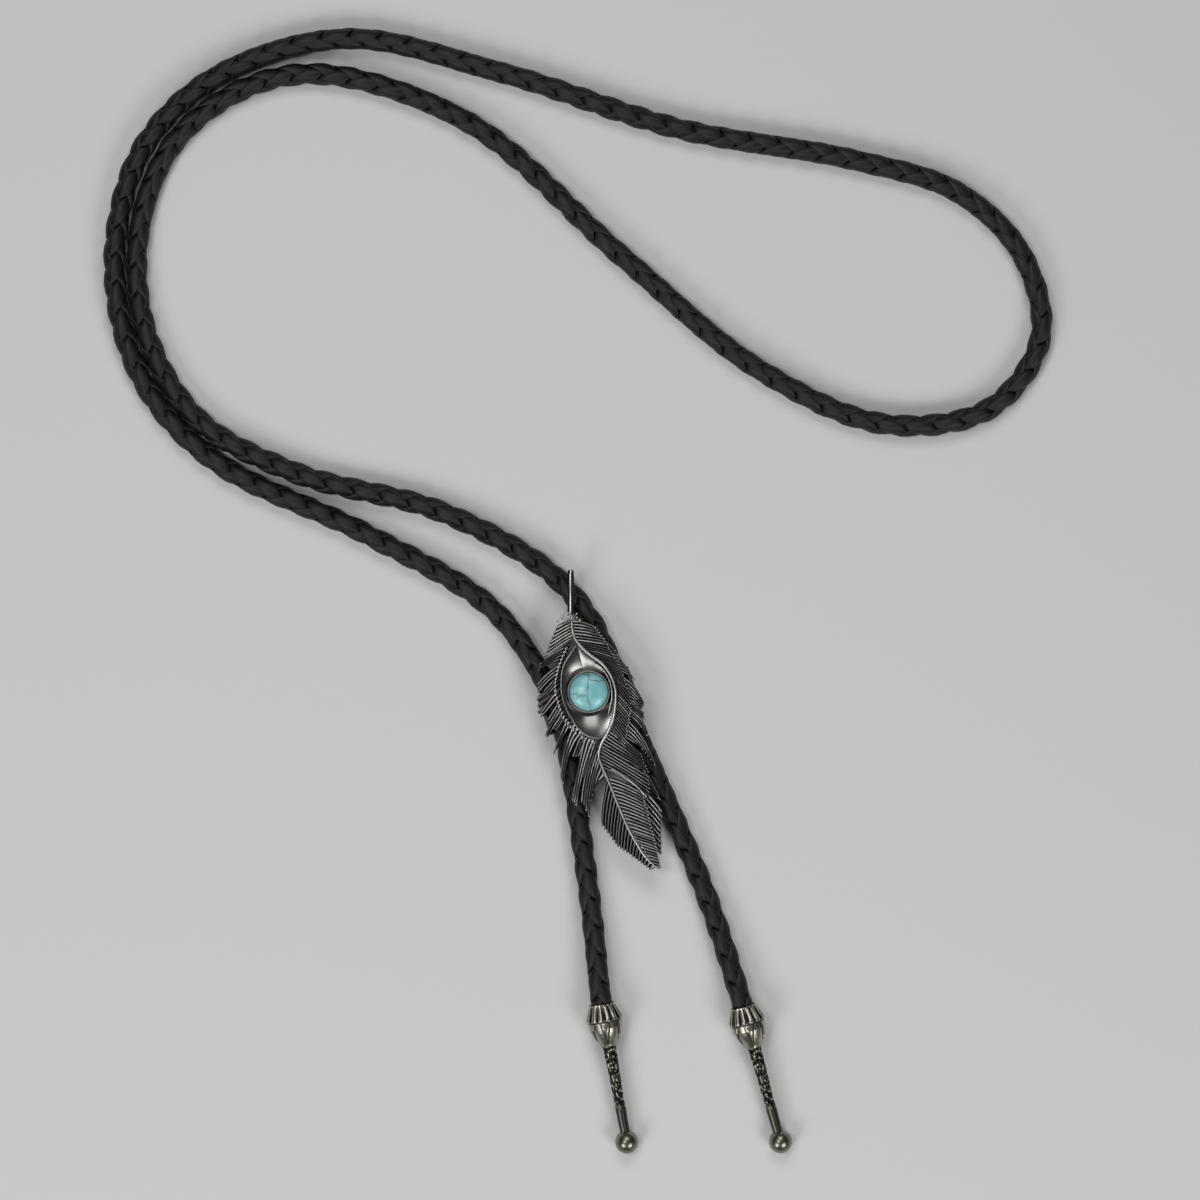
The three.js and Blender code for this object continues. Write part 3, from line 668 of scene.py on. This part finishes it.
def cabochon():
    """A round dome over a short girdle, its veins marked on fine facets."""
    rings, segments = STONE_RINGS, STONE_SIDES
    turns = np.linspace(0, 2 * math.pi, segments, endpoint=False)
    points = []
    for ring in range(1, rings + 1):
        tilt = math.pi / 2 * ring / rings
        reach = STONE_RADIUS * math.sin(tilt)
        height = STONE_SEAT + STONE_GIRDLE + STONE_DOME * math.cos(tilt)
        points.append(np.column_stack([reach * np.cos(turns), reach * np.sin(turns),
                                       np.full(segments, height)]))
    foot = points[-1].copy()
    foot[:, 2] = STONE_SEAT
    points.append(foot)
    points = np.vstack([np.vstack(points), [(0, 0, STONE_SEAT + STONE_GIRDLE + STONE_DOME)]])
    faces = tube_faces(rings + 1, segments, closed_ends=False)
    faces += [[len(points) - 1, side, (side + 1) % segments] for side in range(segments)]
    faces.append([rings * segments + side for side in range(segments)][::-1])
    x, y = points[:, 0] / STONE_RADIUS, points[:, 1] / STONE_RADIUS
    ragged_x = x + 0.011 * np.sin(23 * y + 4 * x) + 0.006 * np.sin(57 * y - 9 * x)
    ragged_y = y + 0.011 * np.sin(21 * x - 5 * y) + 0.006 * np.sin(49 * x + 12 * y)
    width = 0.023 + 0.008 * np.sin(7 * x + 9 * y) + 0.005 * np.sin(31 * x - 17 * y)
    vein = np.exp(-((distance_to(VEINS, ragged_x, ragged_y) / width) ** 2))
    mesh = Mesh()
    mesh.add(points, faces, vein=vein)
    return mesh.make("cabochon")


stone = cabochon()
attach(stone, "root")
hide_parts("turquoise_stone")


# Cord tips
def tip_profile():
    """Rings along a tip: distance from the mouth, radius, then flute, sepal, grain and tarnish."""
    ball = TIP_LENGTH - BALL_RADIUS
    bell_end = COLLAR_FLARE + BELL_LENGTH
    neck_end = ball - BALL_RADIUS * 0.9
    neck_start = neck_end - NECK_LENGTH
    keys = [
        (0, MOUTH_RADIUS, 0, 0, 0, 0), (COLLAR_FLARE * 0.12, MOUTH_RADIUS * 1.03, 0.5, 0, 0, 0),
        (COLLAR_FLARE * 0.5, (MOUTH_RADIUS + COLLAR_RADIUS) / 2, 1, 0, 0, 0),
        (COLLAR_FLARE * 0.86, COLLAR_RADIUS * 0.985, 1, 0, 0, 0),
        (COLLAR_FLARE, COLLAR_RADIUS, 0.6, 0, 0, 0),
        (COLLAR_FLARE + BELL_LENGTH * 0.04, COLLAR_RADIUS * 0.93, 0, 0.1, 0, 0.7),
        (COLLAR_FLARE + BELL_LENGTH * 0.12, COLLAR_RADIUS * 0.94, 0, 0.8, 0, 0.1),
        (COLLAR_FLARE + BELL_LENGTH * 0.3, COLLAR_RADIUS * 0.945, 0, 1, 0, 0.1),
        (COLLAR_FLARE + BELL_LENGTH * 0.45, COLLAR_RADIUS * 0.88, 0, 1, 0, 0.1),
        (COLLAR_FLARE + BELL_LENGTH * 0.6, COLLAR_RADIUS * 0.79, 0, 1, 0, 0.1),
        (COLLAR_FLARE + BELL_LENGTH * 0.75, COLLAR_RADIUS * 0.68, 0, 1, 0, 0.1),
        (COLLAR_FLARE + BELL_LENGTH * 0.9, COLLAR_RADIUS * 0.54, 0, 0.4, 0, 0.2),
        (bell_end, STEM_RADIUS * 1.3, 0, 0, 0.3, 0),
        (bell_end + STEM_RADIUS * 0.3, STEM_RADIUS, 0, 0, 1, 0),
        (neck_start - NECK_RADIUS, STEM_RADIUS * 0.75, 0, 0, 1, 0),
        (neck_start, NECK_RADIUS, 0, 0, 0, 0.6), (neck_end, NECK_RADIUS * 0.85, 0, 0, 0, 0.6),
    ]
    for share in np.linspace(0.16, 0.985, 26):
        angle = math.pi * share
        reach = BALL_RADIUS * math.sin(angle)
        keys.append((ball - BALL_RADIUS * math.cos(angle), reach, 0, 0, 0, 0.35))
    keys = np.array(keys)
    plain = np.linspace(0, ball - BALL_RADIUS * 0.9, 170)
    stem = np.linspace(bell_end, neck_start, 150)
    stations = np.unique(np.concatenate([plain, stem, keys[:, 0]]))
    return np.column_stack([stations] + [np.interp(stations, keys[:, 0], c) for c in keys[:, 1:].T])


def grain(stations, turns, start, end):
    """Heights of the melted-looking nuggets that cover a tip's stem."""
    rng = random.Random(STEM_SEED)
    height = np.zeros((len(stations), len(turns)))
    for _ in range(NUGGETS):
        along = rng.uniform(start, end)
        around = rng.uniform(0, 2 * math.pi)
        size = rng.uniform(0.17, 0.4) * MM
        gap = (turns - around + math.pi) % (2 * math.pi) - math.pi
        away = np.hypot((stations - along)[:, None] / 1.25, gap[None, :] * STEM_RADIUS) / size
        height = np.maximum(height, np.sqrt(np.clip(1 - away**2, 0, 1)) * size * 0.75)
    return height


def tip_shape():
    """A tip along +X from its mouth, with its bore, and how bright each corner is."""
    profile = tip_profile()
    segments = TIP_SIDES
    turns = np.linspace(0, 2 * math.pi, segments, endpoint=False)
    stations = profile[:, 0]
    stem_end = TIP_LENGTH - BALL_RADIUS - NECK_LENGTH
    nuggets = grain(stations, turns, COLLAR_FLARE + BELL_LENGTH, stem_end)
    groove = smooth((0.5 - 0.5 * np.cos(FLUTES * turns) - 0.45) / 0.4)
    along_bell = (stations - COLLAR_FLARE) / BELL_LENGTH
    half_sepal = 0.62 * (1 - along_bell / 0.78)
    off_centre = np.abs((turns * SEPALS / (2 * math.pi)) % 1 - 0.5) * 2
    beyond = off_centre[None, :] - half_sepal[:, None]
    in_bell = profile[:, 3:4]
    radius = (
        profile[:, 1:2]
        - profile[:, 2:3] * FLUTE_DEPTH * groove
        + in_bell * SEPAL_RISE * (smooth(-beyond / 0.08) - 0.5)
        + profile[:, 4:5] * (nuggets - 0.2 * MM)
    )
    dark = profile[:, 2:3] * groove + 0.85 * in_bell * np.exp(-((beyond - 0.05) / 0.08) ** 2)
    rubbed = 0.25 * nuggets / NUGGET_TOP + 0.75 * smooth((nuggets / NUGGET_TOP - 0.55) / 0.35)
    dark = np.maximum(dark, profile[:, 4:5] * (1 - rubbed))
    dark = np.clip(np.maximum(dark, profile[:, 5:6]), 0, 1)
    points = np.stack([
        np.broadcast_to(stations[:, None], radius.shape),
        radius * np.cos(turns), radius * np.sin(turns),
    ], axis=2).reshape(-1, 3)
    bore = [
        np.column_stack([np.full(segments, along), BORE_RADIUS * np.cos(turns),
                         BORE_RADIUS * np.sin(turns)])
        for along in (BORE_DEPTH, 0.0)
    ]
    points = np.vstack([*bore, points])
    faces = tube_faces(len(stations) + 2, segments)
    return points, faces, np.concatenate([np.zeros(2 * segments), 1 - dark.ravel()])


def add_tip(name, node, shape, end, before):
    """Sets a tip over the cord's end, dropped so that its collar and its ball both lie."""
    points, faces, bright = shape
    to_ball = TIP_LENGTH - COLLAR_FLARE - BALL_RADIUS
    drop = math.acos(BALL_RADIUS / math.hypot(COLLAR_RADIUS, to_ball))
    drop -= math.atan2(to_ball, COLLAR_RADIUS)
    heading = math.atan2(end[1] - before[1], end[0] - before[0])
    back = (BORE_DEPTH - FIT_GAP) * math.cos(drop)
    x = points[:, 0] * math.cos(drop) + points[:, 2] * math.sin(drop)
    z = points[:, 2] * math.cos(drop) - points[:, 0] * math.sin(drop)
    y = points[:, 1]
    mesh = Mesh()
    mesh.add(np.column_stack([
        end[0] - back * math.cos(heading) + x * math.cos(heading) - y * math.sin(heading),
        end[1] - back * math.sin(heading) + x * math.sin(heading) + y * math.cos(heading),
        z + AT_MOUTH,
    ]), faces, bright=bright, polish=0.3)
    piece = mesh.make(name)
    piece.data.set_sharp_from_angle(angle=math.radians(60))
    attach(piece, "root")
    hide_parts(node)
    return piece


tip = tip_shape()
left_tip = add_tip("cast_tip_left", "left_tip", tip, ROUTE[0], ROUTE[1])
right_tip = add_tip("cast_tip_right", "right_tip", tip, ROUTE[-1], ROUTE[-2])
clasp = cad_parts["cord_clasp"]


# Materials
def new_material(name, color, roughness, metallic=0.0):
    """A material with its own shader, ready for textures."""
    material = bpy.data.materials.new(name)
    material.use_nodes = True
    shader = material.node_tree.nodes["Principled BSDF"]
    shader.inputs["Base Color"].default_value = (*color, 1)
    shader.inputs["Roughness"].default_value = roughness
    shader.inputs["Metallic"].default_value = metallic
    return material, material.node_tree, shader


def wire(tree, source, output, target, socket):
    """Joins a node's output to another node's input."""
    tree.links.new(source.outputs[output], target.inputs[socket])


def noise(tree, scale, detail=3.0, roughness=0.5):
    """Noise in the object's own coordinates, whose scale is in cells to the metre."""
    place = tree.nodes.new("ShaderNodeTexCoord")
    texture = tree.nodes.new("ShaderNodeTexNoise")
    texture.inputs["Scale"].default_value = scale
    texture.inputs["Detail"].default_value = detail
    texture.inputs["Roughness"].default_value = roughness
    wire(tree, place, "Object", texture, "Vector")
    return texture


def ramp(tree, source, output, stops):
    """Colours along a value, from (place, colour) stops."""
    node = tree.nodes.new("ShaderNodeValToRGB")
    elements = node.color_ramp.elements
    while len(elements) < len(stops):
        elements.new(0.5)
    for element, (place, color) in zip(elements, stops):
        element.position = place
        element.color = (*color, 1)
    wire(tree, source, output, node, "Fac")
    return node


def named_value(tree, name):
    """Reads a number that the mesh keeps at its corners."""
    node = tree.nodes.new("ShaderNodeAttribute")
    node.attribute_name = name
    return node


def bumped(tree, shader, source, output, strength, depth):
    """Lets a value tilt the surface a little."""
    node = tree.nodes.new("ShaderNodeBump")
    node.inputs["Strength"].default_value = strength
    node.inputs["Distance"].default_value = depth
    wire(tree, source, output, node, "Height")
    wire(tree, node, "Normal", shader, "Normal")


def mixed(tree, factor, first, second):
    """A colour between two others by a value."""
    node = tree.nodes.new("ShaderNodeMix")
    node.data_type = "RGBA"
    wire(tree, factor[0], factor[1], node, 0)
    for socket, value in ((6, first), (7, second)):
        if isinstance(value, tuple) and len(value) == 3:
            node.inputs[socket].default_value = (*value, 1)
        else:
            tree.links.new(value.outputs["Color"], node.inputs[socket])
    return node


def leather_material():
    """Black leather, paler along the strips' edges, with painted shade near black in the creases
    between strips, where they dive and on the core.
    """
    material, tree, shader = new_material("black_leather", (0.012, 0.012, 0.012), 0.48)
    shader.inputs["Specular IOR Level"].default_value = 0.35
    # The last stop is painted shade in the crease where two strips meet.
    top = ramp(tree, named_value(tree, "edge"), "Fac", [
        (0.0, (0.012, 0.012, 0.0123)), (0.5, (0.015, 0.015, 0.0155)),
        (0.78, (0.032, 0.032, 0.033)), (1.0, (0.003, 0.003, 0.003)),
    ])
    # Painted shade: the shadow value turns diving strips and the core near black.
    color = mixed(tree, (named_value(tree, "shadow"), "Fac"), top, (0.003, 0.003, 0.003))
    tree.links.new(color.outputs[2], shader.inputs["Base Color"])
    bumped(tree, shader, noise(tree, 2600, 4), "Fac", 0.35, 0.00025)
    return material


def silver_material(name, wear_and_light, dark, bright):
    """Cast silver, oxidised where it is deep and rubbed bright where it stands out; on the feather
    the value it reads also carries painted light and shade.
    """
    material, tree, shader = new_material(name, bright, 0.3, 1.0)
    middle = tuple(0.24 * b for b in bright)
    color = ramp(tree, named_value(tree, wear_and_light), "Fac", [
        (0.0, dark), (0.42, middle), (0.86, bright), (1.0, tuple(1.3 * b for b in bright)),
    ])
    tarnish = ramp(tree, noise(tree, 900, 5), "Fac", [
        (0.3, (0.7, 0.68, 0.65)), (0.62, (1, 1, 1)),
    ])
    blend = tree.nodes.new("ShaderNodeMix")
    blend.data_type = "RGBA"
    blend.blend_type = "MULTIPLY"
    blend.inputs[0].default_value = 0.6
    tree.links.new(color.outputs["Color"], blend.inputs[6])
    tree.links.new(tarnish.outputs["Color"], blend.inputs[7])
    tree.links.new(blend.outputs[2], shader.inputs["Base Color"])
    gloss = ramp(tree, named_value(tree, "polish"), "Fac", [
        (0.0, (0.34, 0.34, 0.34)), (1.0, (0.25, 0.25, 0.25)),
    ])
    wire(tree, gloss, "Color", shader, "Roughness")
    cast = tree.nodes.new("ShaderNodeMath")
    cast.operation = "MULTIPLY"
    wire(tree, noise(tree, 1900, 3), "Fac", cast, 0)
    wire(tree, ramp(tree, named_value(tree, "polish"), "Fac", [
        (0.0, (1, 1, 1)), (1.0, (0.1, 0.1, 0.1)),
    ]), "Color", cast, 1)
    bumped(tree, shader, cast, "Value", 0.1, 0.0001)
    return material


def turquoise_material():
    """Mottled blue-green stone with olive-grey veins and a soft polish."""
    material, tree, shader = new_material("turquoise", (0.18, 0.51, 0.52), 0.38)
    mottle = ramp(tree, noise(tree, 420, 6, 0.6), "Fac", [
        (0.3, (0.2, 0.54, 0.57)), (0.5, (0.265, 0.645, 0.675)), (0.72, (0.36, 0.73, 0.755)),
    ])
    vein = named_value(tree, "vein")
    color = mixed(tree, (vein, "Fac"), mottle, (0.13, 0.13, 0.085))
    tree.links.new(color.outputs[2], shader.inputs["Base Color"])
    shader.inputs["Coat Weight"].default_value = 0.7
    shader.inputs["Coat Roughness"].default_value = 0.2
    bumped(tree, shader, vein, "Fac", 0.4, -0.0001)
    return material


def steel_material():
    """Plain dark satin sheet metal."""
    material, tree, shader = new_material("dark_steel", (0.1, 0.098, 0.094), 0.45, 1.0)
    bumped(tree, shader, noise(tree, 3000, 2), "Fac", 0.1, 0.0001)
    return material


def dress(piece, material):
    """Gives a piece one material."""
    piece.data.materials.clear()
    piece.data.materials.append(material)


silver = silver_material("antique_silver", "crest", (0.014, 0.0137, 0.013), (0.5, 0.485, 0.465))
tip_silver = silver_material("tip_silver", "bright", (0.02, 0.019, 0.016), (0.42, 0.4, 0.35))
dress(cord, leather_material())
dress(feather, silver)
dress(stone, turquoise_material())
dress(left_tip, tip_silver)
dress(right_tip, tip_silver)
clasp.material_slots[0].material = steel_material()


# Floor and light
FLOOR_REACH = 1.5
floor_mesh = bpy.data.meshes.new("floor")
corners = [(-1, -1), (1, -1), (1, 1), (-1, 1)]
floor_mesh.from_pydata([(FLOOR_REACH * x, FLOOR_REACH * y, 0) for x, y in corners], [],
                       [(0, 1, 2, 3)])
floor = bpy.data.objects.new("floor", floor_mesh)
bpy.context.scene.collection.objects.link(floor)
floor_material, _, _ = new_material("pale_floor", (0.78, 0.77, 0.76), 0.8)
dress(floor, floor_material)


def soft_light(name, place, size, power):
    """A rectangular light that looks at the slide."""
    data = bpy.data.lights.new(name, "AREA")
    data.shape = "RECTANGLE"
    data.size, data.size_y = size
    data.energy = power
    light = bpy.data.objects.new(name, data)
    light.location = place
    aim = np.zeros(3) - np.array(place)
    aim /= np.linalg.norm(aim)
    tilt = math.acos(-aim[2])
    light.rotation_euler = (tilt, 0, math.atan2(-aim[0], aim[1]))
    bpy.context.scene.collection.objects.link(light)


soft_light("overhead", (-0.4, 0.1, 1.15), (0.25, 0.35), 2.2)
soft_light("top_panel", (0.0, 0.6, 0.84), (0.6, 0.42), 2.4)
soft_light("left_panel", (-0.52, -0.6, 0.7), (0.42, 0.42), 3.0)
soft_light("right_panel", (0.52, -0.6, 0.7), (0.42, 0.42), 3.2)
world = bpy.data.worlds.new("studio")
world.use_nodes = True
world.node_tree.nodes["Background"].inputs["Color"].default_value = (0.5, 0.5, 0.5, 1)
world.node_tree.nodes["Background"].inputs["Strength"].default_value = 0.1
bpy.context.scene.world = world
bpy.context.scene.view_settings.view_transform = "Standard"
